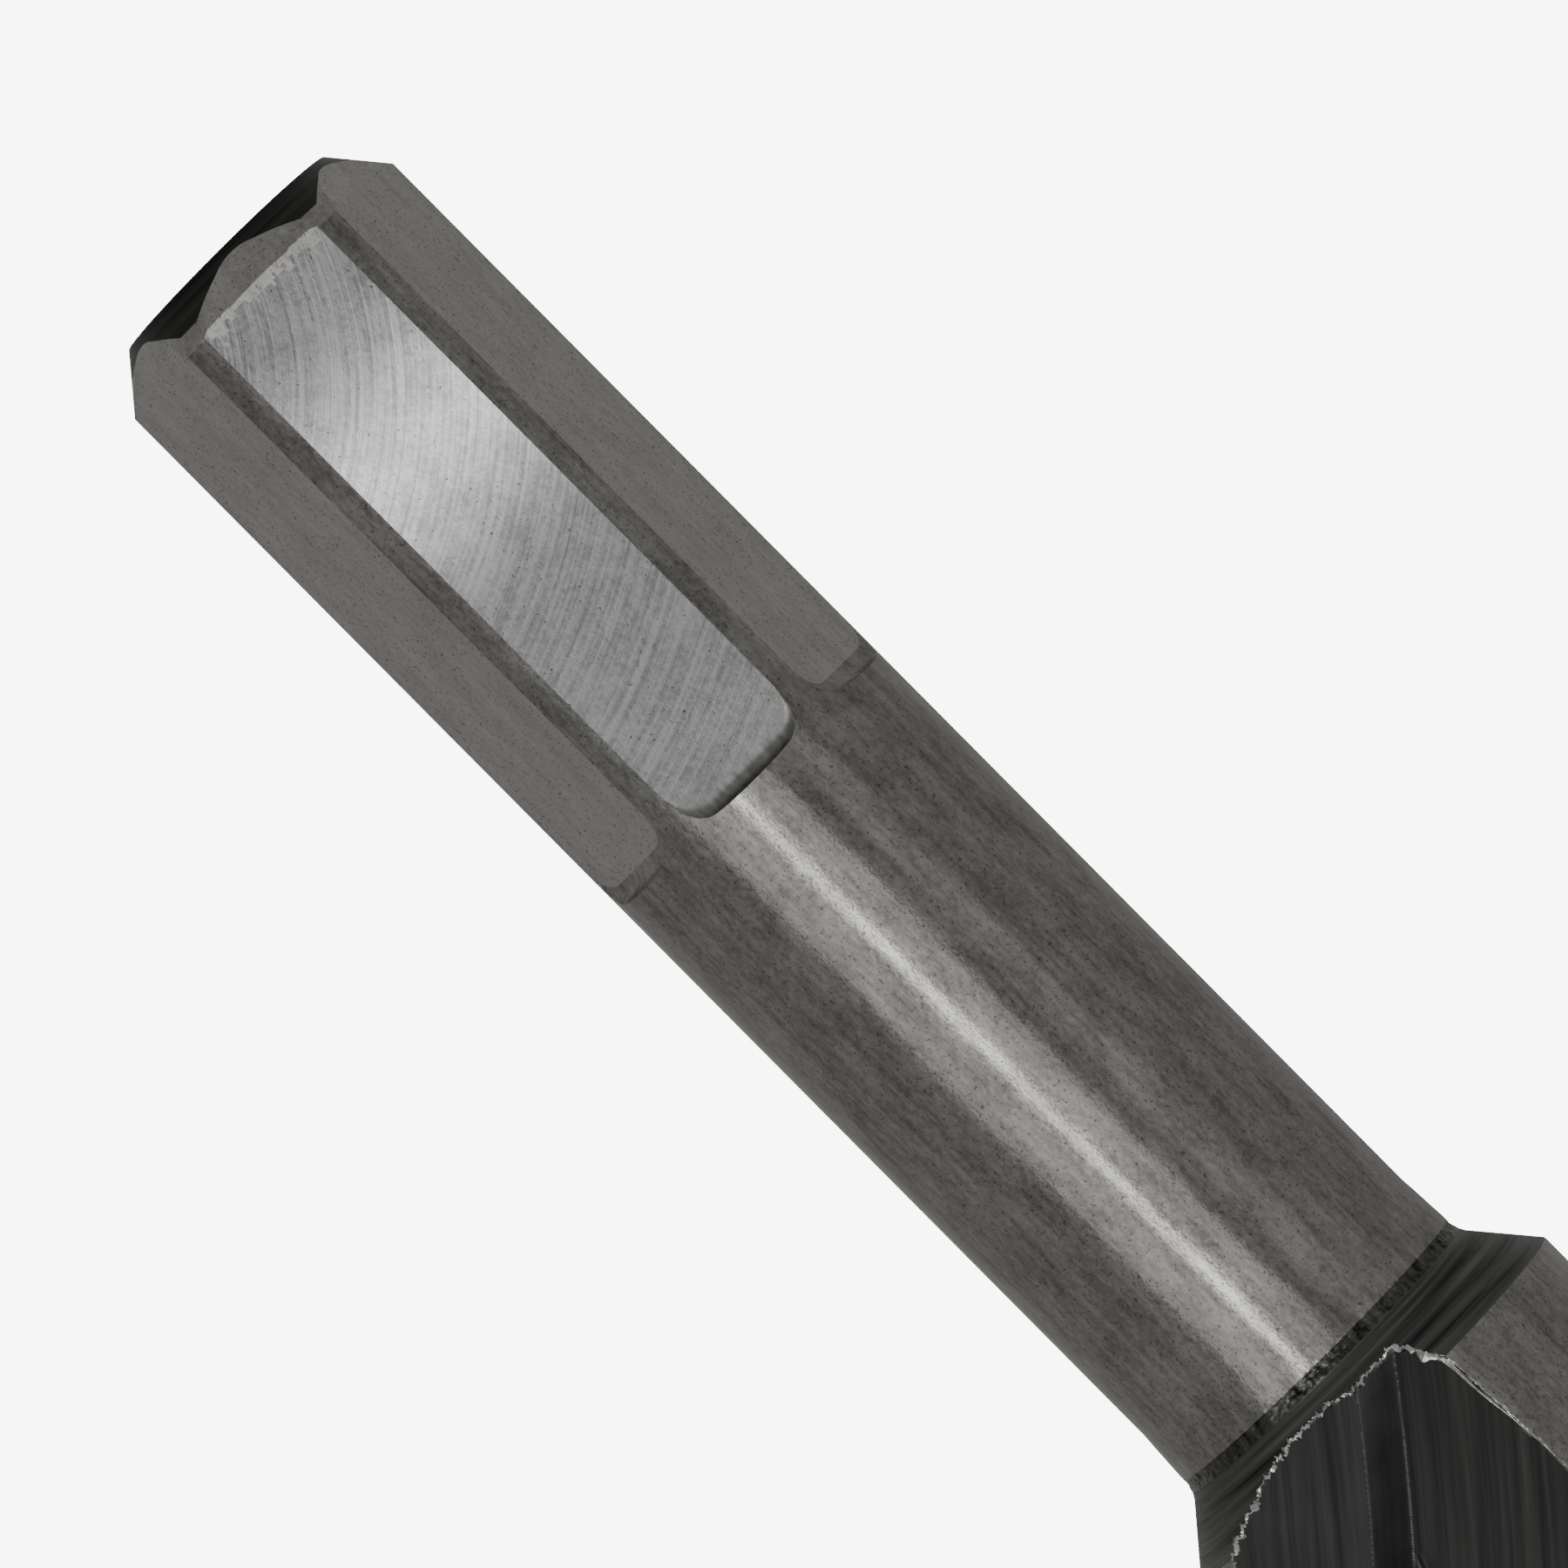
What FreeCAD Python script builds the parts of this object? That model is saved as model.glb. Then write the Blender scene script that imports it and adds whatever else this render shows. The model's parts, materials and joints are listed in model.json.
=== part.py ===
import FreeCAD, Part
import math
import os
import re
import Sketcher
from FreeCAD import Placement, Rotation, Vector

# Hex-shank spiral masonry drill.  The axis lies along X: the shank end is at -X
# and the carbide point at +X.  Z is up and the tool rests on the ground plane Z = 0.
# Inside each body the axis is the body's own X axis and x = 0 is the shank end face.

SIZES = [
    # overall
    ("overall", 160.0, "shank end face to carbide point"),
    ("ground_lift", 8.2, "height of the axis above the ground"),
    # shank
    ("stock_rad", 6.15, "round stock of the shank"),
    ("end_rad", 4.65, "radius of the shank end face"),
    ("end_bevel", 1.8, "axial length of the end bevel"),
    ("bevel_bulge", 14.0, "radius of the slightly rounded end bevel"),
    ("lead_start", 0.35, "where the eased end of a flat meets the bevel"),
    ("lead_low", 4.94, "axis to the eased end of a flat at its start"),
    ("lead_break", 1.25, "where the easing flattens out"),
    ("lead_mid", 5.33, "axis to the eased end of a flat at the break"),
    ("lead_end", 1.65, "where the easing meets the flat"),
    ("flat_dist", 5.55, "axis to each hex flat, 7/16 in across flats"),
    ("flat_len", 24.5, "end face to the end of a flat's floor"),
    ("flat_runout", 0.7, "cutter radius at the end of a flat"),
    ("hex_turn", -1.6, "clocking of the hex about the axis"),
    ("upset_start", 50.2, "where the neck starts to swell toward the weld"),
    ("weld_pos", 52.45, "friction-weld face between shank and body"),
    ("weld_rad", 6.28, "radius at the weld face"),
    # fluted body
    ("cone_pos", 52.95, "start of the turned shoulder cone"),
    ("cone_rad", 6.47, "radius at the start of the shoulder cone"),
    ("body_rad", 8.2, "radius over the lands"),
    ("cone_len", 2.05, "axial length of the shoulder cone"),
    ("flute_lead", 50.0, "advance of a flute in one turn"),
    ("helix_angle", 45.8, "slope of the flute at the land, from the axis"),
    ("wheel_rad", 45.0, "radius of the flute milling wheel"),
    ("web_rad", 3.7, "core radius left under a flute"),
    ("wheel_pos", 62.0, "where the wheel reaches full depth"),
    ("wheel_turn", 32.0, "clocking of the first flute about the axis"),
    ("floor_back", 2.4, "wheel edge: shank-side end of the floor"),
    ("floor_front", 3.8, "wheel edge: point-side end of the floor"),
    ("floor_rise", 0.6, "wheel edge: slope of the floor toward the point side"),
    ("step_back", 3.3, "wheel edge: top of the steep step"),
    ("step_rise", 1.4, "wheel edge: height of the steep step"),
    ("flank_back", 7.2, "wheel edge: reach of the shank-side flank"),
    ("flank_rise", 3.7, "wheel edge: height of the shank-side flank"),
    ("edge_back", 9.6, "wheel edge: far end on the shank side"),
    ("edge_rise", 6.2, "wheel edge: height of that end"),
    ("rake_front", 10.4, "wheel edge: far end of the rake wall"),
    ("rake_rise", 8.1, "wheel edge: height of that end"),
    ("flute_end", 146.0, "where the spiral flutes stop"),
    # head
    ("tip_half", 65.0, "half of the point angle"),
    ("nose_drop", 2.2, "carbide standing proud of the steel nose"),
    ("head_turn", 34.0, "clocking of the main cutter about the axis"),
    ("side_turn_1", 124.0, "clocking of the first side cutter"),
    ("side_turn_2", 304.0, "clocking of the second side cutter"),
    ("gullet_turn", 79.0, "clocking of the head's gullets"),
    ("gullet_rad", 4.4, "radius of the four straight gullets in the head"),
    ("gullet_off", 10.3, "axis to the centre of a gullet"),
    ("gullet_len", 15.0, "length of the gullets behind the point"),
    ("cutter_rad", 9.0, "radius over the carbide"),
    ("main_thick", 2.8, "thickness of the main cutter"),
    ("clear_rad", 12.0, "reach of the trimming cuts"),
    ("main_seat", 12.0, "point to the seat of the main cutter"),
    ("side_thick", 2.6, "thickness of a side cutter"),
    ("side_seat", 10.5, "point to the seat of a side cutter"),
    ("side_inner", 2.8, "axis to the inner end of a side cutter"),
    ("side_drop", 0.6, "side cutters set back from the main roof"),
    ("side_rad", 8.8, "radius over the side cutters"),
    ("chisel_rise", 0.38, "main roof apex above the chisel edge left by the relief"),
    ("relief", 24.0, "relief angle behind each cutting edge"),
    ("braze", 0.15, "thickness of the braze film"),
]

doc = FreeCAD.newDocument("masonry_drill")
sheet = doc.addObject("Spreadsheet::Sheet", "Sizes")
for row, (alias, value, note) in enumerate(SIZES, start=1):
    sheet.set("A%d" % row, alias)
    sheet.set("B%d" % row, repr(value))
    sheet.set("C%d" % row, note)
    sheet.setAlias("B%d" % row, alias)
doc.recompute()


# ---------------------------------------------------------------- helpers

def size(alias):
    """The value of one spreadsheet cell."""
    return float(sheet.get(alias))


def sized(formula):
    """A formula with every spreadsheet name written out as Sizes.name."""
    names = {alias for alias, _, _ in SIZES}
    return re.sub(r"[a-z_][a-z_0-9]*", lambda m: "Sizes." * (m.group() in names) + m.group(), formula)


def origin_item(body, role):
    """A plane or an axis of the body's own origin."""
    for item in body.Origin.OriginFeatures:
        if item.Role == role:
            return item
    raise ValueError(role)


def new_body(name, turn=None):
    """An empty body on the tool's axis, turned about it by a spreadsheet angle."""
    body = doc.addObject("PartDesign::Body", name)
    body.Label = name
    angle = size(turn) if turn else 0.0
    base = Vector(-size("overall") / 2, 0, size("ground_lift"))
    body.Placement = Placement(base, Rotation(Vector(1, 0, 0), angle))
    body.setExpression("Placement.Base.x", sized("- overall / 2"))
    body.setExpression("Placement.Base.z", sized("ground_lift"))
    if turn:
        body.setExpression("Placement.Rotation.Angle", sized(turn) + " * 1 deg")
    return body


def new_sketch(body, name, role, placement=None):
    """A sketch on one of the body's origin planes."""
    sketch = body.newObject("Sketcher::SketchObject", name)
    sketch.AttachmentSupport = (origin_item(body, role), [""])
    sketch.MapMode = "FlatFace"
    if placement is not None:
        sketch.AttachmentOffset = placement
    doc.recompute()
    return sketch


def pin(sketch, curve, point, formula_x, formula_y):
    """Drive one end of a curve with two spreadsheet formulas."""
    for kind, formula in (("DistanceX", formula_x), ("DistanceY", formula_y)):
        text = sized(formula)
        value = float(sketch.evalExpression(text))
        index = sketch.addConstraint(Sketcher.Constraint(kind, -1, 1, curve, point, value))
        sketch.setExpression("Constraints[%d]" % index, text)


def draw_loop(sketch, corners, arcs=None):
    """A closed loop through corners given as formula pairs.

    Edges are straight.  An edge listed in arcs, by the number of its first corner, is an
    arc of that radius instead, with its centre on the loop's inner side.
    """
    arcs = arcs or {}
    points = []
    for formula_x, formula_y in corners:
        at_x = float(sketch.evalExpression(sized(formula_x)))
        at_y = float(sketch.evalExpression(sized(formula_y)))
        points.append(Vector(at_x, at_y, 0))
    count = len(points)
    for i in range(count):
        start, stop = points[i], points[(i + 1) % count]
        if i in arcs:
            sketch.addGeometry(arc_between(start, stop, size(arcs[i])), False)
        else:
            sketch.addGeometry(Part.LineSegment(start, stop), False)
    for i in range(count):
        sketch.addConstraint(Sketcher.Constraint("Coincident", i, 2, (i + 1) % count, 1))
    for i, (formula_x, formula_y) in enumerate(corners):
        pin(sketch, i, 1, formula_x, formula_y)
    for i, radius in arcs.items():
        index = sketch.addConstraint(Sketcher.Constraint("Radius", i, size(radius)))
        sketch.setExpression("Constraints[%d]" % index, sized(radius))
    doc.recompute()


def arc_between(start, stop, radius):
    """The arc from start to stop whose centre is on the left of the chord."""
    chord = stop - start
    left = Vector(-chord.y, chord.x, 0).normalize()
    back = math.sqrt(radius ** 2 - (chord.Length / 2) ** 2)
    centre = (start + stop) / 2 + left * back
    angles = [math.atan2(point.y - centre.y, point.x - centre.x) for point in (start, stop)]
    return Part.ArcOfCircle(Part.Circle(centre, Vector(0, 0, 1), radius), *angles)


def revolve(body, sketch, kind="PartDesign::Revolution"):
    """A full turn of a sketch about its own horizontal axis."""
    feature = body.newObject(kind, sketch.Name + "_turn")
    feature.Profile = sketch
    feature.ReferenceAxis = (sketch, ["H_Axis"])
    feature.Angle = 360
    doc.recompute()
    return feature


def cut(body, sketch, length, midplane=False, reverse=False):
    """A pocket of a driven length."""
    feature = body.newObject("PartDesign::Pocket", sketch.Name + "_cut")
    feature.Profile = sketch
    feature.Type = "Length"
    feature.setExpression("Length", sized(length) + " * 1 mm")
    feature.Midplane = midplane
    feature.Reversed = reverse
    doc.recompute()
    return feature


def repeat(body, feature, count):
    """Copies of a cut spaced evenly about the tool's axis."""
    pattern = body.newObject("PartDesign::PolarPattern", feature.Name + "_ring")
    pattern.Originals = [feature]
    pattern.Axis = (origin_item(body, "X_Axis"), [""])
    pattern.Angle = 360
    pattern.Occurrences = count
    body.Tip = pattern
    doc.recompute()
    return pattern


# ---------------------------------------------------------------- hex shank

def hex_shank():
    """Round bar with an end bevel and six milled flats that run out into the neck."""
    body = new_body("hex_shank", "hex_turn")
    bar = new_sketch(body, "shank_bar", "XZ_Plane")
    draw_loop(bar, [
        ("0", "0"),
        ("weld_pos", "0"),
        ("weld_pos", "weld_rad"),
        ("upset_start", "stock_rad"),
        ("end_bevel", "stock_rad"),
        ("0", "end_rad"),
    ], {4: "bevel_bulge"})
    revolve(body, bar)

    flat = new_sketch(body, "hex_flat", "XZ_Plane")
    draw_loop(flat, [
        ("0 - 1", "flat_dist"),
        ("flat_len", "flat_dist"),
        ("flat_len + flat_runout", "flat_dist + flat_runout"),
        ("flat_len + flat_runout", "flat_dist + 3"),
        ("0 - 1", "flat_dist + 3"),
    ], {1: "flat_runout"})
    repeat(body, cut(body, flat, "stock_rad * 2", midplane=True), 6)

    # the first millimetre and a half of each flat is eased down toward the end face
    lead = new_sketch(body, "flat_lead", "XZ_Plane")
    draw_loop(lead, [
        ("0 - 1", "lead_low - (lead_start + 1) * (lead_mid - lead_low) / (lead_break - lead_start)"),
        ("lead_break", "lead_mid"),
        ("lead_end", "flat_dist"),
        ("lead_end", "flat_dist + 3"),
        ("0 - 1", "flat_dist + 3"),
    ])
    repeat(body, cut(body, lead, "stock_rad * 2", midplane=True), 6)
    return body


# ---------------------------------------------------------------- fluted body

def wheel_frame():
    """Frame of the milling wheel: its axle, the depth direction, the flute direction."""
    turn = math.radians(size("wheel_turn"))
    slope = math.radians(size("helix_angle"))
    outward = Vector(0, -math.sin(turn), math.cos(turn))
    around = Vector(0, -math.cos(turn), -math.sin(turn))
    along = Vector(1, 0, 0)
    axle = along * math.sin(slope) - around * math.cos(slope)
    travel = along * math.cos(slope) + around * math.sin(slope)
    centre = Vector(size("wheel_pos"), 0, 0) + outward * (size("web_rad") + size("wheel_rad"))
    return Placement(centre, Rotation(axle, outward, travel, "XYZ"))


def flute_section(sketch):
    """The wheel's edge: shank-side flank, steep step, sloped floor and rake wall."""
    draw_loop(sketch, [
        ("0 - edge_back", "0 - wheel_rad + edge_rise"),
        ("0 - flank_back", "0 - wheel_rad + flank_rise"),
        ("0 - step_back", "0 - wheel_rad + step_rise"),
        ("0 - floor_back", "0 - wheel_rad"),
        ("floor_front", "0 - wheel_rad + floor_rise"),
        ("rake_front", "0 - wheel_rad + rake_rise"),
    ])


def cut_both(body, first):
    """Repeat a flute cut on the other side, and stop unless both sides lose the same metal."""
    before = first.BaseFeature.Shape.Volume
    once = first.Shape.Volume
    both = repeat(body, first, 2).Shape.Volume
    removed = before - once
    if removed <= 0 or abs((once - both) - removed) > 0.01 * removed:
        raise RuntimeError(first.Name + " did not cut both flutes alike")


def fluted_body():
    """Turned blank with a cone shoulder, two spiral flutes, gullets and cutter slots."""
    body = new_body("fluted_body")
    blank = new_sketch(body, "body_blank", "XZ_Plane")
    nose = "( overall - nose_drop )"
    draw_loop(blank, [
        ("weld_pos", "0"),
        (nose, "0"),
        (nose + " - body_rad / tan( tip_half * 1 deg )", "body_rad"),
        ("cone_pos + cone_len", "body_rad"),
        ("cone_pos", "cone_rad"),
        ("weld_pos", "weld_rad"),
    ])
    revolve(body, blank)

    # each flute: the wheel's own imprint where it plunges, then its spiral travel
    entry = new_sketch(body, "flute_entry", "XY_Plane", wheel_frame())
    flute_section(entry)
    cut_both(body, revolve(body, entry, "PartDesign::Groove"))

    travel = new_sketch(body, "flute_section", "XY_Plane", wheel_frame())
    flute_section(travel)
    spiral = body.newObject("PartDesign::SubtractiveHelix", "flute_spiral")
    spiral.Profile = travel
    spiral.ReferenceAxis = (origin_item(body, "X_Axis"), [""])
    spiral.Mode = 0
    spiral.LeftHanded = False
    spiral.Reversed = True
    spiral.Angle = 0
    spiral.Pitch = size("flute_lead")
    spiral.Height = size("flute_end") - size("wheel_pos")
    spiral.setExpression("Pitch", sized("flute_lead") + " * 1 mm")
    spiral.setExpression("Height", sized("( flute_end - wheel_pos )") + " * 1 mm")
    doc.recompute()
    cut_both(body, spiral)

    gullet = new_sketch(body, "head_gullet", "YZ_Plane")
    place_on_head(gullet, "gullet_turn")
    gullet.addGeometry(Part.Circle(Vector(size("gullet_off"), 0, 0), Vector(0, 0, 1),
                                   size("gullet_rad")), False)
    pin(gullet, 0, 3, "gullet_off", "0")
    index = gullet.addConstraint(Sketcher.Constraint("Radius", 0, size("gullet_rad")))
    gullet.setExpression("Constraints[%d]" % index, sized("gullet_rad"))
    repeat(body, cut(body, gullet, "gullet_len"), 4)

    main_slot = new_sketch(body, "main_slot", "YZ_Plane")
    place_on_head(main_slot, "head_turn")
    draw_block(main_slot, "main_thick / 2 + braze", "0 - clear_rad", "clear_rad")
    cut(body, main_slot, "(main_seat + braze)")

    side_slot = new_sketch(body, "side_slot", "YZ_Plane")
    place_on_head(side_slot, "side_turn_1")
    draw_block(side_slot, "side_thick / 2 + braze", "side_inner - braze", "clear_rad")
    repeat(body, cut(body, side_slot, "(side_seat + braze)"), 2)
    return body


# ---------------------------------------------------------------- carbide head

def place_on_head(sketch, turn, ahead="0"):
    """Move a cross-section sketch to the point plane and turn it about the axis."""
    base = Vector(0, 0, size("overall") + float(ahead))
    angle = size(turn) if turn else 0.0
    sketch.AttachmentOffset = Placement(base, Rotation(Vector(0, 0, 1), angle))
    sketch.setExpression("AttachmentOffset.Base.z", sized("overall + " + ahead))
    if turn:
        sketch.setExpression("AttachmentOffset.Rotation.Angle", sized(turn) + " * 1 deg")
    doc.recompute()


def draw_block(sketch, half_width, inner, outer):
    """A rectangle across the head: half its width, and its two ends from the axis."""
    draw_loop(sketch, [
        ("0 - (" + half_width + ")", inner),
        (half_width, inner),
        (half_width, outer),
        ("0 - (" + half_width + ")", outer),
    ])


def block(body, half_width, inner, seat):
    """A square-ended block from just ahead of the point down to its seat."""
    plan = new_sketch(body, body.Name + "_plan", "YZ_Plane")
    place_on_head(plan, None, "1")
    draw_block(plan, half_width, inner, "clear_rad")
    pad = body.newObject("PartDesign::Pad", body.Name + "_block")
    pad.Profile = plan
    pad.Type = "Length"
    pad.setExpression("Length", sized("(" + seat + " + 1)") + " * 1 mm")
    pad.Reversed = True
    doc.recompute()


def trim(body, radius, drop, seat):
    """Turn a block down to a radius and to the cone of the point, set back by drop."""
    roof = new_sketch(body, body.Name + "_roof", "XZ_Plane")
    draw_loop(roof, [
        ("overall - " + drop, "0"),
        ("overall + 2", "0"),
        ("overall + 2", "clear_rad * 2"),
        ("overall - " + seat + " - 1", "clear_rad * 2"),
        ("overall - " + seat + " - 1", radius),
        ("overall - " + drop + " - " + radius + " / tan(tip_half * 1 deg)", radius),
    ])
    revolve(body, roof, "PartDesign::Groove")


def relieve(body, thick, drop, count):
    """Slope the roof away behind each cutting edge."""
    half = math.radians(size("tip_half"))
    across = Vector(0, 1, 0)
    above = Vector(math.sin(half), 0, math.cos(half))
    back = Vector(math.cos(half), 0, -math.sin(half))
    set_back = float(body.evalExpression(sized(drop)))
    point = Vector(size("overall") - set_back, 0, 0)
    frame = Placement(point, Rotation(across, above, back, "XYZ"))
    wedge = new_sketch(body, body.Name + "_relief", "XY_Plane", frame)
    draw_loop(wedge, [
        ("0 - " + thick + " / 2", "0"),
        (thick + " / 2 + 1", "0 - (" + thick + " + 1) * tan(relief * 1 deg)"),
        (thick + " / 2 + 1", "2"),
        ("0 - " + thick + " / 2", "2"),
    ])
    feature = cut(body, wedge, "clear_rad")
    if count > 1:
        repeat(body, feature, count)


def cutter(name, turn, thick, seat, inner, radius, drop):
    """One carbide plate: a block turned to size with relief behind its edges."""
    body = new_body(name, turn)
    block(body, thick + " / 2", inner, seat)
    trim(body, radius, drop, seat)
    relieve(body, thick, drop, 1 if inner == "side_inner" else 2)
    return body


def braze(name, turn, thick, seat, inner, inner_film):
    """The film of braze between a carbide plate and the walls and floor of its slot."""
    body = new_body(name, turn)
    block(body, thick + " / 2 + braze", inner + inner_film, "(" + seat + " + braze)")
    trim(body, "body_rad", "nose_drop", seat)
    hollow = new_sketch(body, name + "_hollow", "YZ_Plane")
    place_on_head(hollow, None)
    draw_block(hollow, thick + " / 2", inner, "clear_rad + 1")
    cut(body, hollow, seat)
    return body


def head():
    """The full-width main cutter, the two side cutters and their braze films."""
    across = "0 - clear_rad"
    side_1 = ("side_turn_1", "side_thick", "side_seat", "side_inner")
    side_2 = ("side_turn_2", "side_thick", "side_seat", "side_inner")
    return [
        cutter("main_cutter", "head_turn", "main_thick", "main_seat", across, "cutter_rad",
               "(0 - chisel_rise)"),
        cutter("side_cutter_1", *side_1, "side_rad", "side_drop"),
        cutter("side_cutter_2", *side_2, "side_rad", "side_drop"),
        braze("main_braze", "head_turn", "main_thick", "main_seat", across, ""),
        braze("side_braze_1", *side_1, " - braze"),
        braze("side_braze_2", *side_2, " - braze"),
    ]


def guard_and_export(bodies):
    """Stop on any broken object, then write one STEP file for each sub-part."""
    doc.recompute()
    for item in doc.Objects:
        if "Invalid" in item.State or "Error" in item.State:
            raise RuntimeError(item.Name + " is broken")
    os.makedirs("parts", exist_ok=True)
    for body in bodies:
        shape = body.Shape
        if shape.isNull() or not shape.isValid() or not shape.Solids:
            raise RuntimeError(body.Label + " has no valid solid")
        print(body.Label, "volume", round(shape.Volume, 1), "solids", len(shape.Solids))
        shape.exportStep("parts/" + body.Label + ".step")


guard_and_export([hex_shank(), fluted_body()] + head())
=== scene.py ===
# %% [markdown]
# # A hex-shank masonry drill
#
# The tool is two steel bars welded end to end and a carbide head.  This lesson rebuilds
# its skin as computed surfaces, because at this closeness every milled edge, burr and
# machining line shows.  The CAD solids stay the measure of everything: each surface
# follows them, and nothing reaches past their box.

# %% Load the frame
import json
import math

import bpy
import numpy as np
from mathutils import Matrix, Vector


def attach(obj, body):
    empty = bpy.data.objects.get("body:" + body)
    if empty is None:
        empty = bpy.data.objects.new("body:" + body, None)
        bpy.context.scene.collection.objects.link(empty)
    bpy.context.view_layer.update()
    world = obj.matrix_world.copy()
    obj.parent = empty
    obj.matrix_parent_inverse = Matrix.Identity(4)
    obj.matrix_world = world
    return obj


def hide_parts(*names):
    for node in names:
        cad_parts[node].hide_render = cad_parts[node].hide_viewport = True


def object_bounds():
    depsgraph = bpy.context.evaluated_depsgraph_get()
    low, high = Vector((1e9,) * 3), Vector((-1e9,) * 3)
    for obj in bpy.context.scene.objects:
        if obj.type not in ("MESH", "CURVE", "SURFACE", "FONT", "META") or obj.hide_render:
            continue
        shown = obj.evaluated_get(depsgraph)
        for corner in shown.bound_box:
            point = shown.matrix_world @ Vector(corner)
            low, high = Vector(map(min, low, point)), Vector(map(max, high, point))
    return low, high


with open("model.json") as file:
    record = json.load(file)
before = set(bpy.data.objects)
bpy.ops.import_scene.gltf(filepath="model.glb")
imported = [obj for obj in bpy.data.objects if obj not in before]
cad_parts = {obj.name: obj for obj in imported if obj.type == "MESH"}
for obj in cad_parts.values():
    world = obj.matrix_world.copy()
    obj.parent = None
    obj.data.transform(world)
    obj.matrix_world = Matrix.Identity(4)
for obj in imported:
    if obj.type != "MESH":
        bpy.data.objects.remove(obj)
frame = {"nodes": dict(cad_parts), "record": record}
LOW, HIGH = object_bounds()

RECORD = frame["record"]
MOUNTS = {m["name"]: m for m in RECORD["mounts"]}
MM = 0.001
AXIS_Z = MOUNTS["shank_neck"]["pos_m"][2] / MM
SHANK_END = LOW.x / MM
print("box", [round(v / MM, 2) for v in (*LOW, *HIGH)])

# %% [markdown]
# ## Sizes that several pieces share
#
# Millimetres and degrees, measured along the tool from the shank's end face, and outward
# from the axis.  Turns about the axis are measured from straight up toward -Y.  Other
# sizes are given in the cell that first needs them.

# %% Shared sizes
NECK_RAD = MOUNTS["shank_neck"]["dims"]["r_mm"]
BODY_RAD = 8.2
SHANK_STOP = 52.1
LIP_START_RAD = 6.26
print("neck radius", NECK_RAD, "body radius", BODY_RAD, "welded at", SHANK_STOP)

# %% [markdown]
# ## Helpers
#
# A piece is a grid of points, rows along the tool and columns round it, closed by a cap
# at each end.  Each face carries the number of its finish, and a texture map in
# millimetres that runs with the direction the metal was cut in.

# %% Points on the tool and mesh objects
def on_tool(along, out, turn):
    """Point at a distance along the axis, out from it, and turned from straight up."""
    x = SHANK_END + along
    y = -out * np.sin(turn)
    z = AXIS_Z + out * np.cos(turn)
    return np.stack(np.broadcast_arrays(x, y, z), -1) * MM


def mesh_object(name, verts, faces, finish, uv, sharp):
    """A riding mesh object with smooth shading broken at edges sharper than `sharp`."""
    mesh = bpy.data.meshes.new(name)
    mesh.from_pydata(verts.tolist(), [], faces)
    layer = mesh.uv_layers.new(name="lay")
    layer.data.foreach_set("uv", np.asarray(uv, np.float32).ravel())
    mesh.polygons.foreach_set("material_index", np.asarray(finish, np.int32))
    mesh.polygons.foreach_set("use_smooth", np.ones(len(faces), bool))
    mesh.set_sharp_from_angle(angle=math.radians(sharp))
    mesh.update()
    obj = bpy.data.objects.new(name, mesh)
    bpy.context.scene.collection.objects.link(obj)
    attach(obj, "root")
    tris = len(mesh.loops) - 2 * len(mesh.polygons)
    print(name, "verts", len(verts), "triangles", tris)
    return obj

# %% [markdown]
# ## Closing a grid
#
# Every main piece is a tube of rows and columns.  Closing its ends makes it a solid
# surface whose normals point outward, which the export and the shading both need.

# %% Close a grid into a piece
def ring_piece(name, points, finish, uv, sharp):
    """Close a (rows, columns) grid that wraps round the tool, with a flat cap at each end."""
    rows, cols = points.shape[:2]
    verts = points.reshape(-1, 3)
    centre_low = points[0].mean(0)
    centre_high = points[-1].mean(0)
    verts = np.vstack([verts, centre_low, centre_high])
    i, j = np.meshgrid(np.arange(rows - 1), np.arange(cols), indexing="ij")
    k = (j + 1) % cols
    quads = np.stack([i * cols + j, i * cols + k, (i + 1) * cols + k, (i + 1) * cols + j], -1)
    corners = [(i, j), (i, j + 1), (i + 1, j + 1), (i + 1, j)]
    quad_uv = np.stack([uv[a, b] for a, b in corners], -2).reshape(-1, 2)
    faces = quads.reshape(-1, 4).tolist()
    low, high = rows * cols, rows * cols + 1
    last = (rows - 1) * cols
    here = np.arange(cols)
    after = (here + 1) % cols
    caps = np.empty((2 * cols, 3), int)
    caps[0::2] = np.stack([np.full(cols, low), after, here], -1)
    caps[1::2] = np.stack([np.full(cols, high), last + here, last + after], -1)
    cap_uv = verts[caps][..., 1:].reshape(-1, 2) / MM
    kinds = np.concatenate([finish.ravel(), np.full(len(caps), finish[0, 0])])
    return mesh_object(name, verts, faces + caps.tolist(), kinds, np.vstack([quad_uv, cap_uv]), sharp)

# %% [markdown]
# ## Wear and finish
#
# Chipped metal needs a height that wanders smoothly.  Random values on a lattice, blended
# with an ease curve, give that and can repeat round the tool without a seam.

# %% Smooth noise and finish numbers
def value_noise(x, y, seed, wrap=None):
    """Smooth random height, about -1 to 1, on a unit lattice that can repeat in y.

    It blends the four lattice values round a point.  Each weight is an ease curve: three
    times the square of the distance less twice its cube.
    """
    rng = np.random.default_rng(seed)
    table = rng.uniform(-1, 1, (512, 512))
    xi, yi = np.floor(x).astype(int), np.floor(y).astype(int)
    fx, fy = x - xi, y - yi
    fx, fy = fx * fx * (3 - 2 * fx), fy * fy * (3 - 2 * fy)
    y0, y1 = (yi, yi + 1) if wrap is None else (yi % wrap, (yi + 1) % wrap)
    a, b = table[xi % 512, y0 % 512], table[(xi + 1) % 512, y0 % 512]
    c, d = table[xi % 512, y1 % 512], table[(xi + 1) % 512, y1 % 512]
    return (a * (1 - fx) + b * fx) * (1 - fy) + (c * (1 - fx) + d * fx) * fy


# finish numbers, one per face
SKIN, MILLED_SHEEN, BEVEL, CONE, FLUTE, RING, SIDE, BAND, WALL, FLUTE_HIGHLIGHT = range(10)
print("finishes numbered", SKIN, "to", FLUTE_HIGHLIGHT)

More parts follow.
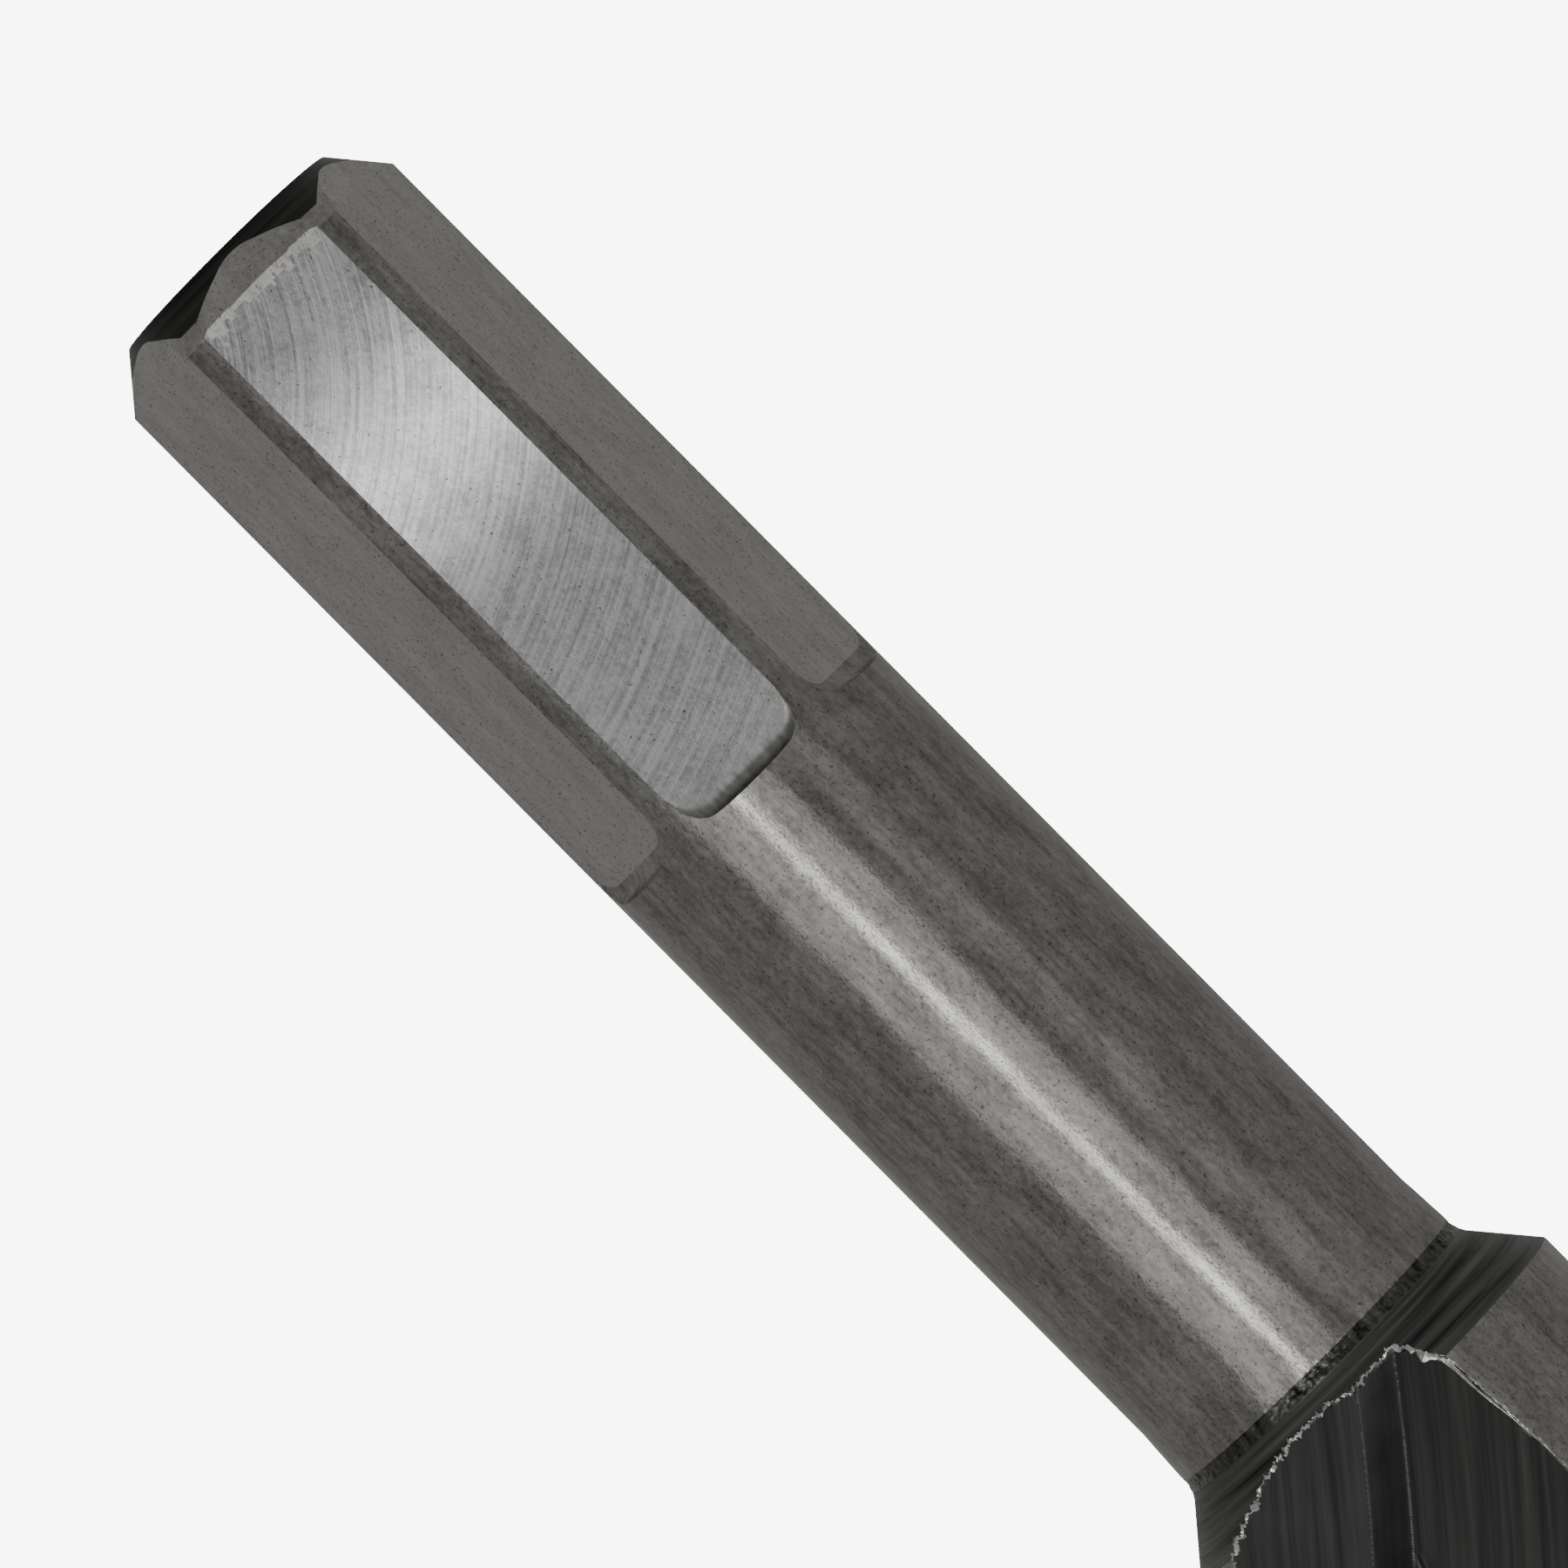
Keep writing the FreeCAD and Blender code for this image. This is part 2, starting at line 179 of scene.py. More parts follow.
# %% [markdown]
# ## The hex shank
#
# The bar is a cylinder cut by six planes.  A plane at distance d meets the ray turned by
# t from its normal at radius d / cos t, so columns placed exactly on the plane's edges
# keep those edges straight.  Rows are spread between four stations that move with the
# column: the end face, the end of the bevel, the end of the flat's floor, and the top of
# the curved wall that the cutter left.  Cutting a
# cylinder with booleans is another way, but tends to leave thin faces that shade badly.

# %% Columns of the hex shank
FLAT_DIST = 5.55
HEX_TURN = math.radians(-1.6)
FLAT_COLUMNS, STRIP_COLUMNS = 49, 6


def column_turns():
    """Turns of the columns and, for each, its turn from its flat's middle and its flat.

    A flat ends where the cosine of the turn is the flat's distance over the bar's radius.
    """
    half = math.acos(FLAT_DIST / NECK_RAD)
    across = np.linspace(-1, 1, FLAT_COLUMNS)
    flat = np.arctan(across * math.tan(half))
    strip = np.linspace(half, math.pi / 3 - half, STRIP_COLUMNS + 2)[1:-1]
    turns, offsets, kinds = [], [], []
    for k in range(6):
        base = HEX_TURN + k * math.pi / 3 - math.pi
        turns += [base + t for t in flat] + [base + t for t in strip]
        offsets += list(flat) + [None] * len(strip)
        kinds += [k] * len(flat) + [-1] * len(strip)
    return np.array(turns), offsets, np.array(kinds)


print("columns round the shank", len(column_turns()[0]))

# %% [markdown]
# ## Bevel and eased flats
#
# The end of the real bar is turned to a bevel, and each flat dips slightly before it
# meets the bevel.  Two short formulas give the radius of each.

# %% Radius of the bevel and the flats
END_RAD = 4.65
BEVEL_LEN = 1.8
LEAD = ((0.35, 4.94), (1.25, 5.33), (1.65, 5.55))


def bevel_radius(along):
    """Radius of the end bevel: a straight line from the end face's radius to the neck's."""
    return END_RAD + along * (NECK_RAD - END_RAD) / BEVEL_LEN


def face_radius(along, off):
    """Radius of a flat's surface, eased down toward the end face; a strip has no flat.

    It is the flat's distance from the axis divided by the cosine of the turn from its
    middle, and never more than the bar's radius.
    """
    if off is None:
        return np.full_like(along, NECK_RAD)
    places, heights = np.array(LEAD).T
    level = np.interp(along, places, heights)
    return np.minimum(level / math.cos(off), NECK_RAD)


print("bevel is", BEVEL_LEN, "long, flats eased over the first", LEAD[-1][0])

# %% [markdown]
# ## Building the shank
#
# The stations differ from column to column, so each column is a row of arrays joined end
# to end.  Faces are given their finish by station: bevel, eased band, flat, wall, neck.

# %% Build the shank
FLAT_LEN = 24.5
RUNOUT = 0.7
CORNER = 1.0
FLAT_HALF = 2.65
DARK_MIN, DARK_MAX, DARK_BEND = 0.36, 1.2, 1.5
UPSET_START = 50.2
UPSET_MID = (50.8, 6.19)
TOP_FLAT = 3
MILL_START, MILL_WANDER, MILL_SPECK = 1.9, 0.45, 0.3
SHANK_SHARP = 14


def shank():
    """Bar with bevel, six eased flats with curved run-out walls, neck and swollen weld end.

    Each column joins straight runs of radius: bevel, flat, wall, neck and weld end.  The
    wall is part of a circle seen from the side: the distance along is the root of the
    cutter's radius squared less the square of that radius minus the height risen.
    """
    turns, offsets, kinds = column_turns()
    n_dark, n_bevel, n_ease, n_flat, n_wall, n_neck, n_upset = 9, 8, 14, 120, 12, 60, 24
    probe = np.linspace(0, BEVEL_LEN, 721)
    columns = []
    for off in offsets:
        met = bevel_radius(probe) >= face_radius(probe, off) - 1e-6
        bevel_end = float(probe[np.argmax(met)]) if met.any() else BEVEL_LEN
        lean = 1.0 if off is None else abs(math.tan(off)) * FLAT_DIST / FLAT_HALF
        dark_end = min(bevel_end, DARK_MIN + (DARK_MAX - DARK_MIN) * min(1, lean) ** DARK_BEND)
        if off is None:
            foot, lip = FLAT_LEN, FLAT_LEN + 0.02
            wall_u = np.linspace(foot, lip, n_wall)
            wall_r = np.full(n_wall, NECK_RAD)
        else:
            side = abs(FLAT_DIST * math.tan(off))
            edge = math.sqrt(NECK_RAD**2 - FLAT_DIST**2)
            into = max(0.0, (side - (edge - CORNER)) / CORNER)
            foot = FLAT_LEN - CORNER * (1 - math.sqrt(max(0.0, 1 - into**2)))
            rise = NECK_RAD * math.cos(off) - FLAT_DIST
            lift = rise * np.linspace(0, 1, n_wall) ** 2
            wall_u = foot + np.sqrt(np.maximum(RUNOUT**2 - (RUNOUT - lift) ** 2, 0))
            wall_u[-1] += 0.005
            wall_r = (FLAT_DIST + lift) / math.cos(off)
            lip = wall_u[-1]
        dark_u = np.linspace(0, dark_end, n_dark)
        bevel_u = np.linspace(dark_end, bevel_end + 1e-4, n_bevel + 1)[1:]
        ease_u = np.linspace(bevel_end, LEAD[2][0] + 0.2, n_ease + 1)[1:]
        flat_u = np.linspace(LEAD[2][0] + 0.2, foot, n_flat + 1)[1:]
        neck_u = np.linspace(lip, UPSET_START, n_neck + 1)[1:]
        upset_u = np.linspace(UPSET_START, SHANK_STOP, n_upset + 1)[1:]
        upset_at = [UPSET_START, UPSET_MID[0], SHANK_STOP]
        upset_r = np.interp(upset_u, upset_at, [NECK_RAD, UPSET_MID[1], LIP_START_RAD])
        along = np.concatenate([dark_u, bevel_u, ease_u, flat_u, wall_u[1:], neck_u, upset_u])
        out = np.concatenate([
            bevel_radius(dark_u), bevel_radius(bevel_u), face_radius(ease_u, off),
            face_radius(flat_u, off), wall_r[1:], np.full(n_neck, NECK_RAD), upset_r,
        ])
        columns.append((along, out))
    along = np.array([c[0] for c in columns]).T
    out = np.array([c[1] for c in columns]).T
    rows, cols = along.shape
    finish = np.full((rows - 1, cols), SKIN)
    stops = np.cumsum([n_dark - 1, n_bevel, n_ease, n_flat, n_wall - 1])
    finish[: stops[0]] = BEVEL
    finish[stops[0] : stops[2]] = BAND
    next_kind = np.roll(kinds, -1)
    for c in range(cols):
        if kinds[c] >= 0 and next_kind[c] == kinds[c]:
            # The flat that faces the camera and the lights gets a much lighter finish than the other five
            # flats, which are cut alike: painted sheen over its own arcs.
            top = kinds[c] == TOP_FLAT
            finish[stops[2] : stops[3], c] = MILLED_SHEEN if top else SIDE
            finish[stops[3] : stops[4], c] = WALL if top else SKIN
            if top:
                rows_here = np.arange(stops[2], stops[3])
                start = MILL_START + MILL_WANDER * value_noise(np.array(c * 0.23), np.array(0.5), 31)
                beside = np.full(len(rows_here), c * 0.7)
                start += MILL_SPECK * value_noise(rows_here * 0.6, beside, 32)
                finish[rows_here[along[rows_here, c] < start], c] = BAND
            else:
                finish[stops[1] : stops[2], c] = SIDE
    wide = np.append(turns, turns[0] + 2 * math.pi) * NECK_RAD
    uv = np.stack([np.hstack([along, along[:, :1]]), np.broadcast_to(wide, (rows, cols + 1))], -1)
    points = on_tool(along, out, turns[None, :])
    return ring_piece("shank_skin", points, finish, uv, SHANK_SHARP)


shank_obj = shank()

# %% [markdown]
# ## The milling wheel
#
# A flute is what a large wheel leaves: it sinks in at one place and then follows a screw
# path.  A point is air if, for some position of the wheel on that path, it lies inside
# the wheel's edge profile.  The skin is the first metal met when coming in along a
# radius, found by halving the interval again and again.

# %% Depth inside the wheel
SCREW_LEAD = 50.0
HELIX = math.radians(45.8)
WHEEL_RAD = 45.0
WEB_RAD = 3.7
WHEEL_POS = 62.0
WHEEL_TURN = math.radians(32.0)
WHEEL_EDGE = np.array([
    (-9.6, 6.2), (-7.2, 3.7), (-3.3, 1.4), (-2.4, 0.0), (3.8, 0.6), (10.4, 8.1),
])
OUTSIDE = 20.0
FIRST_ADVANCE, FIRST_TRAVEL = 1.0, 0.4


def wheel_depth(along, turn, out, advance, branch):
    """How far inside the wheel a point is when the wheel has advanced; negative is outside.

    The point is put in the wheel's own frame.  Its depth is the wheel's radius less its
    distance from the wheel's axis, less the height of the edge profile beside it.  Once
    the wheel advances, only points beside or behind its centre are counted.
    """
    swing = turn - WHEEL_TURN - math.pi * branch - 2 * math.pi * advance / SCREW_LEAD
    off_x = along - WHEEL_POS - advance
    off_e = out * np.sin(swing)
    off_n = out * np.cos(swing) - (WEB_RAD + WHEEL_RAD)
    side = math.sin(HELIX) * off_x - math.cos(HELIX) * off_e
    travel = math.cos(HELIX) * off_x + math.sin(HELIX) * off_e
    height = WHEEL_RAD - np.sqrt(travel**2 + off_n**2)
    profile = np.interp(side, WHEEL_EDGE[:, 0], WHEEL_EDGE[:, 1], left=OUTSIDE, right=OUTSIDE)
    inside = height - profile
    inside = np.where(off_n < 0, inside, -OUTSIDE)
    return np.where((travel < FIRST_TRAVEL) | (advance < FIRST_ADVANCE), inside, -OUTSIDE)


print("wheel depth at its start", wheel_depth(WHEEL_POS, WHEEL_TURN, BODY_RAD, 0.0, 0).round(2))

# %% [markdown]
# ## Sweeping the wheel
#
# The wheel may stand anywhere on its screw path.  A row of positions round the likeliest
# one is tried, for the flute pass nearest to the point and the one on each side of it.
# The deepest of them all says how far the point lies in cut-away metal.

# %% All wheel positions together
FLUTE_END = 146.0
SEARCH = np.linspace(-11, 11, 23)


def in_flute(along, turn, out):
    """The deepest any wheel position reaches past a point."""
    reach = FLUTE_END - WHEEL_POS
    phase = SCREW_LEAD * (turn - WHEEL_TURN) / (2 * math.pi)
    nearest = np.round((phase - (along - WHEEL_POS)) / (SCREW_LEAD / 2))
    best = np.full(np.broadcast(along, turn, out).shape, -OUTSIDE)
    for branch in (-1, 0, 1):
        number = nearest + branch
        centre = phase - number * SCREW_LEAD / 2
        for shift in SEARCH:
            advance = np.clip(centre + shift, 0, reach)
            best = np.maximum(best, wheel_depth(along, turn, out, advance, number))
    return best


print("flutes run from", WHEEL_POS, "to", FLUTE_END, "and try", len(SEARCH), "positions")

# %% [markdown]
# ## From blank to skin
#
# Before the flutes are cut the body is a turned blank.  The finished skin is the blank
# wherever no wheel position reached it, and the cut wall elsewhere.

# %% The blank and the skin left after cutting
LIP_END = (52.75, 6.36)
CONE_POS = 52.95
CONE_RAD = 6.47
CONE_END = 55.0
NOSE_POS = 157.8
TIP_HALF = math.radians(65.0)
CORE_START, HALVINGS = 3.0, 11


def blank_radius(along):
    """Radius of the turned blank: straight lines between the stations of lip, cone and land,
    and never more than the nose cone.
    """
    stations = [SHANK_STOP, LIP_END[0], CONE_POS, CONE_END]
    lip = np.interp(along, stations, [LIP_START_RAD, LIP_END[1], CONE_RAD, BODY_RAD])
    nose = (NOSE_POS - along) * math.tan(TIP_HALF)
    return np.minimum(lip, np.maximum(nose, 0.02))


def skin_radius(along, turn):
    """First metal met coming in along each radius, and the blank's radius there.

    The interval between the core and the blank is halved again and again: where its
    middle is air the outer end moves in, and where it is metal the inner end moves out.
    """
    blank = blank_radius(along) + 0 * turn
    shallow = in_flute(along, turn, blank) > 0
    low, high = np.full(blank.shape, CORE_START), blank.copy()
    for _ in range(HALVINGS):
        mid = (low + high) / 2
        air = in_flute(along, turn, mid) > 0
        high = np.where(air, mid, high)
        low = np.where(air, low, mid)
    return np.where(shallow, high, blank), blank


print("search ends within", round((BODY_RAD - CORE_START) / 2**HALVINGS, 4))

# %% [markdown]
# ## The lay of the cut
#
# Grinding leaves lines along the wheel's travel.  A texture map turned by the helix
# angle lets one pattern follow every flute.

# %% Texture maps that follow the cut
def lay_map(along, turn, radius):
    """Texture map that runs with the flute: first along the cut, then across it.

    The unrolled surface is turned by the helix angle.
    """
    arc = turn * radius
    with_cut = along * math.cos(HELIX) + arc * math.sin(HELIX)
    cross_cut = along * math.sin(HELIX) - arc * math.cos(HELIX)
    return np.stack(np.broadcast_arrays(with_cut, cross_cut), -1)


def wheel_lay(along, turn, out):
    """Texture map in the first wheel's own frame, where grinding lines run straight."""
    swing = (turn - WHEEL_TURN + math.pi / 2) % math.pi - math.pi / 2
    side = math.sin(HELIX) * (along - WHEEL_POS) - math.cos(HELIX) * out * np.sin(swing)
    travel = math.cos(HELIX) * (along - WHEEL_POS) + math.sin(HELIX) * out * np.sin(swing)
    return np.stack(np.broadcast_arrays(travel, side), -1)


print("lines lie at", round(math.degrees(HELIX), 1), "degrees to the axis")

# %% [markdown]
# ## The shoulder
#
# Weld lip, ragged dark ring, turned cone and the first edge of each flute.  The upper
# side is looked at from closest, so its columns stand closer together than those below.

# %% Build the shoulder
def uneven_turns(fine, coarse, half):
    """Columns round the tool: fine over the top, coarser underneath."""
    top = np.linspace(-half, half, fine, endpoint=False)
    under = np.linspace(half, 2 * math.pi - half, coarse, endpoint=False)
    turns = np.concatenate([top, under])
    return np.sort((turns + math.pi) % (2 * math.pi) - math.pi)


SHOULDER_STOP = 64.6
CUT_DEPTH = 0.03
FLUTE_FROM = 53.0
RING_MID, RING_HALF = 52.42, 0.22
RING_DEEP, RING_CHIP = 0.07, 0.035
RING_SPAN = (52.2, 52.72)
# Across-cut span of the flute where its colour is lightened: a painted highlight band.
FLUTE_HIGHLIGHT_SPAN = (-3.3, -2.35)
FINE_HALF = math.radians(100)
BODY_SHARP = 28


def shoulder():
    """Weld lip, cone shoulder and the place where each flute begins.

    The radius is the first metal met, less a ragged groove: a bell curve along the axis
    times a depth that wanders with smooth noise.
    """
    along = np.concatenate([
        np.linspace(SHANK_STOP, CONE_POS, 22, endpoint=False),
        np.linspace(CONE_POS, SHOULDER_STOP, 150),
    ])[:, None]
    turns = uneven_turns(360, 130, FINE_HALF)[None, :]
    out, blank = skin_radius(along, turns)
    ragged = np.exp(-(((along - RING_MID) / RING_HALF) ** 2))
    spin = (turns + math.pi) / (2 * math.pi)
    chip = value_noise(along * 9, spin * 240, 5, 240)
    chip = chip + 0.3 * value_noise(along * 22, spin * 500, 6, 500)
    out = out - ragged * (RING_DEEP + RING_CHIP * chip)
    finish = np.full((len(along) - 1, turns.shape[1]), SKIN)
    mid = (along[1:] + along[:-1])[:, 0] / 2
    depth = (blank - out)[:-1] * 0.5 + (blank - out)[1:] * 0.5
    finish[(mid > RING_SPAN[0]) & (mid < RING_SPAN[1])] = RING
    finish[(mid >= RING_SPAN[1]) & (mid < CONE_END)] = CONE
    finish[(depth > CUT_DEPTH) & (mid[:, None] > FLUTE_FROM)] = FLUTE
    wide = np.append(turns[0], turns[0, 0] + 2 * math.pi)[None, :]
    uv = wheel_lay(along, wide, np.hstack([out, out[:, :1]]))
    across_cut = (uv[1:, :-1, 1] + uv[:-1, :-1, 1]) / 2
    # Flute faces in that span get the lighter finish: painted highlight, not a step in the metal.
    on_flute_highlight = (across_cut > FLUTE_HIGHLIGHT_SPAN[0]) & (across_cut < FLUTE_HIGHLIGHT_SPAN[1])
    finish[(finish == FLUTE) & on_flute_highlight] = FLUTE_HIGHLIGHT
    return ring_piece("shoulder_skin", on_tool(along, out, turns), finish, uv, BODY_SHARP)


shoulder_obj = shoulder()

# %% [markdown]
# ## The rest of the body
#
# Past the entry the flutes are steady, so one cross-section carries the whole spiral: the
# columns turn with the lead and every flute edge is a grid line.  The head is computed
# again point by point, because four straight gullets cross the ends of the flutes there.

# %% A stretch computed point by point
GULLET_TURN = math.radians(79.0)
GULLET_RAD = 4.4
GULLET_OFF = 10.3
GULLET_START = 145.0
LAY_RAD = 7.0


def fluted_stretch(name, start, stop, rows, turns):
    """A stretch of fluted body computed point by point.

    A gullet is a straight round groove.  Its wall is met at its centre's distance times
    the cosine of the turn from it, less the root of the groove's radius squared minus the
    square of that distance times the sine.
    """
    along = np.linspace(start, stop, rows)[:, None]
    out, blank = skin_radius(along, turns)
    for k in range(4):
        centre = GULLET_TURN + k * math.pi / 2
        away = (turns - centre + math.pi) % (2 * math.pi) - math.pi
        room = GULLET_RAD**2 - (GULLET_OFF * np.sin(away)) ** 2
        gullet = GULLET_OFF * np.cos(away) - np.sqrt(np.maximum(room, 0))
        open_here = (room > 0) & (np.cos(away) > 0) & (along > GULLET_START)
        out = np.where(open_here, np.minimum(out, gullet), out)
    deep = blank - out
    finish = np.where((deep[:-1] + deep[1:]) / 2 > CUT_DEPTH, FLUTE, SKIN)
    wide = np.append(turns[0], turns[0, 0] + 2 * math.pi)[None, :]
    uv = lay_map(along, wide, LAY_RAD)
    return ring_piece(name, on_tool(along, out, turns), finish, uv, BODY_SHARP)


print("gullets start at", GULLET_START)

# %% [markdown]
# ## The steady spiral and the head
#
# Turning one cross-section saves computing the long middle point by point.  The head
# skin has no slots for the carbide: the plates and their braze films pass through it.

# %% Build the spiral and the head
def spiral(start, stop, rows, count):
    """The steady spiral: one cross-section, turned in proportion to the distance along."""
    along = np.linspace(start, stop, rows)[:, None]
    base = np.linspace(-math.pi, math.pi, count, endpoint=False)[None, :]
    middle = np.array([[(start + stop) / 2]])
    out, blank = skin_radius(middle, base + 2 * math.pi * (middle - start) / SCREW_LEAD)
    deep = blank[0, 0] - out[0]
    finish = np.broadcast_to(np.where(deep > CUT_DEPTH, FLUTE, SKIN), (rows - 1, count)).copy()
    twist = 2 * math.pi * (along - start) / SCREW_LEAD
    turns = base + twist
    wide = np.hstack([turns, turns[:, :1] + 2 * math.pi])
    points = on_tool(along, np.broadcast_to(out, turns.shape), turns)
    return ring_piece("spiral_skin", points, finish, lay_map(along, wide, LAY_RAD), BODY_SHARP)


even_turns = np.linspace(-math.pi, math.pi, 440, endpoint=False)[None, :]
ENTRY_STOP = 84.0
HEAD_START = 138.0
TIP_GAP = 0.03
entry_obj = fluted_stretch("entry_skin", SHOULDER_STOP, ENTRY_STOP, 150,
                           uneven_turns(360, 130, FINE_HALF)[None, :])
spiral_obj = spiral(ENTRY_STOP, HEAD_START, 110, 520)
head_obj = fluted_stretch("head_skin", HEAD_START, NOSE_POS - TIP_GAP, 170, even_turns)

# %% [markdown]
# ## Burrs
#
# The wheel pushes a rag of metal up along the edge of each flute.  A burr is a tube
# swept along that edge, and its width and its place wander from point to point.

# %% A burr along an edge
BURR_SIDES = 7
BURR_SHARP = 40


def burr(name, path, radius, seed, wander):
    """A closed tube along a path in metres, its radius and its centre wandering.

    Each ring is the path's point plus a small circle across the path.  Points beyond the
    lands' radius are pulled back to it.
    """
    rng = np.random.default_rng(seed)
    count, sides = len(path), BURR_SIDES
    step = np.gradient(path, axis=0)
    step /= np.linalg.norm(step, axis=1)[:, None]
    outward = path - np.array([0, 0, AXIS_Z * MM])
    outward[:, 0] = 0
    outward /= np.linalg.norm(outward, axis=1)[:, None]
    across = np.cross(step, outward)
    across /= np.linalg.norm(across, axis=1)[:, None]
    rough = np.convolve(rng.normal(0, 1, count + 4), np.ones(5) / 5, "same")[2:-2]
    drift = np.convolve(rng.normal(0, 1, count + 6), np.ones(7) / 7, "same")[3:-3]
    width = radius * np.clip(0.75 + wander * rough + 0.12 * rng.normal(0, 1, count), 0.15, 1.6)
    ends = np.minimum(np.arange(count), np.arange(count)[::-1])
    width = width * np.clip(ends / 6, 0.05, 1)
    shift = across * (radius * wander * 2 * drift)[:, None]
    angles = np.linspace(0, 2 * math.pi, sides, endpoint=False)
    beside = np.cos(angles)[None, :, None] * across[:, None]
    above = np.sin(angles)[None, :, None] * outward[:, None]
    ring = beside + above
    squash = 1 + 0.25 * rng.normal(0, 1, (count, sides, 1))
    points = (path + shift)[:, None] + ring * (width[:, None, None] * squash)
    spoke = points - np.array([0, 0, AXIS_Z * MM])
    spoke[..., 0] = 0
    reach = np.linalg.norm(spoke, axis=-1, keepdims=True)
    points = points - spoke * np.maximum(0, 1 - BODY_RAD * MM / reach)
    i, j = np.meshgrid(np.arange(count - 1), np.arange(sides), indexing="ij")
    k = (j + 1) % sides
    quads = np.stack([i * sides + j, i * sides + k, (i + 1) * sides + k, (i + 1) * sides + j], -1)
    first_cap = np.arange(sides)[::-1]
    last_cap = (count - 1) * sides + np.arange(sides)
    faces = quads.reshape(-1, 4).tolist() + [first_cap.tolist(), last_cap.tolist()]
    verts = points.reshape(-1, 3)
    uv = verts[np.concatenate([quads.ravel(), first_cap, last_cap])][:, :2] / MM
    return mesh_object(name, verts, faces, np.zeros(len(faces), int), uv, BURR_SHARP)


print("burrs have", BURR_SIDES, "sides")

# %% [markdown]
# ## Where the burrs run
#
# The burr follows the line where the wheel first broke the surface.  On the cone that is
# found along each turn, and on the land at each station.

# %% Find the edges of a flute
def first_cut(along, turns):
    """For each turn, the first station along the tool where the blank's surface is cut away."""
    cut = in_flute(along[:, None], turns[None, :], blank_radius(along)[:, None]) > 0
    return along[np.argmax(cut, 0)], cut.any(0)


def first_turn(along, turns):
    """For each station along the tool, the first turn at which its surface is cut away."""
    cut = in_flute(along[:, None], turns[None, :], blank_radius(along)[:, None]) > 0
    return turns[np.argmax(cut, 1)], cut.any(1)


flank_turns = np.radians(np.linspace(-24, 96, 420))
flank_along, found = first_cut(np.linspace(52.9, 66, 1300), flank_turns)
flank_turns, flank_along = flank_turns[found], flank_along[found]
print("flank edge", round(flank_along.min(), 2), "to", round(flank_along.max(), 2))
land_along = np.linspace(54.3, 66.0, 260)
land_turns, found = first_turn(land_along, np.radians(np.linspace(-60, 20, 1600)))
land_turns, land_along = land_turns[found], land_along[found]
print("land edge", round(land_along.min(), 2), "to", round(land_along.max(), 2))

# %% [markdown]
# ## Four burrs
#
# Both flutes have the same two edges, so each path is used again half a turn on.

# %% Build the burrs
FLANK_BURR, FLANK_SINK = 0.12, 0.03
LAND_BURR, LAND_SINK = 0.035, 0.025
burrs = []
for copy, name in ((0.0, "top"), (math.pi, "under")):
    path = on_tool(flank_along, blank_radius(flank_along) - FLANK_SINK, flank_turns + copy)
    burrs.append(burr("flank_burr_" + name, path, FLANK_BURR * MM, 21, 0.7))
    path = on_tool(land_along, blank_radius(land_along) - LAND_SINK, land_turns + copy)
    burrs.append(burr("land_burr_" + name, path, LAND_BURR * MM, 22, 0.3))

# %% [markdown]
# ## Finishes
#
# Two effects repeat.  Mill skin is blotchy: cloudy dark and light grey with fine specks.
# Cut metal carries lines along the way the tool passed, so its pattern is noise
# stretched almost to stripes.  Each is a node group; a finish picks colours and scales.

# %% Small helpers for nodes
def socket(group, name, kind, way, value=None):
    """Add one socket to a node group."""
    made = group.interface.new_socket(name=name, in_out=way, socket_type="NodeSocket" + kind)
    if value is not None:
        made.default_value = value
    return made


def node(tree, kind, **settings):
    """Add a node and set its properties; keys that start with `in_` set input values."""
    made = tree.nodes.new("ShaderNode" + kind)
    for key, value in settings.items():
        if key.startswith("in_"):
            made.inputs[key[3:].replace("_", " ")].default_value = value
        else:
            setattr(made, key, value)
    return made


def ramp(tree, source, stops):
    """A colour ramp from (position, grey or colour) pairs."""
    made = tree.nodes.new("ShaderNodeValToRGB")
    elements = made.color_ramp.elements
    while len(elements) < len(stops):
        elements.new(0.5)
    for element, (place, tone) in zip(elements, stops):
        element.position = place
        element.color = (tone, tone, tone, 1) if isinstance(tone, float) else (*tone, 1)
    tree.links.new(source, made.inputs["Fac"])
    return made.outputs["Color"]

# %% [markdown]
# ## Groups with named sockets
#
# A group takes a vector and two colours and gives back a colour, a roughness and a
# height.  Every finish except the milled flat is then wired in the same way.

# %% Node groups and textures
def pattern_group(name, build):
    """A node group: Vector, Dark and Light in; Color, Roughness and Height out."""
    group = bpy.data.node_groups.new(name, "ShaderNodeTree")
    socket(group, "Vector", "Vector", "INPUT")
    socket(group, "Dark", "Color", "INPUT", (0.1, 0.1, 0.1, 1))
    socket(group, "Light", "Color", "INPUT", (0.4, 0.4, 0.4, 1))
    for out_name, kind in (("Color", "Color"), ("Roughness", "Float"), ("Height", "Float")):
        socket(group, out_name, kind, "OUTPUT")
    given = group.nodes.new("NodeGroupInput")
    result = group.nodes.new("NodeGroupOutput")
    build(group, given, result)
    return group


def noise(tree, vector, scale, detail=3.0, stretch=(1, 1, 1), rough=0.5):
    """A noise texture on a stretched copy of a vector."""
    mapping = node(tree, "Mapping")
    mapping.inputs["Scale"].default_value = stretch
    tree.links.new(vector, mapping.inputs["Vector"])
    texture = node(tree, "TexNoise", in_Scale=scale, in_Detail=detail, in_Roughness=rough)
    tree.links.new(mapping.outputs["Vector"], texture.inputs["Vector"])
    return texture.outputs["Fac"]


def mix_color(tree, fac, a, b):
    """Blend two colours; each is a socket."""
    made = node(tree, "Mix", data_type="RGBA")
    tree.links.new(fac, made.inputs[0])
    tree.links.new(a, made.inputs[6])
    tree.links.new(b, made.inputs[7])
    return made.outputs[2]


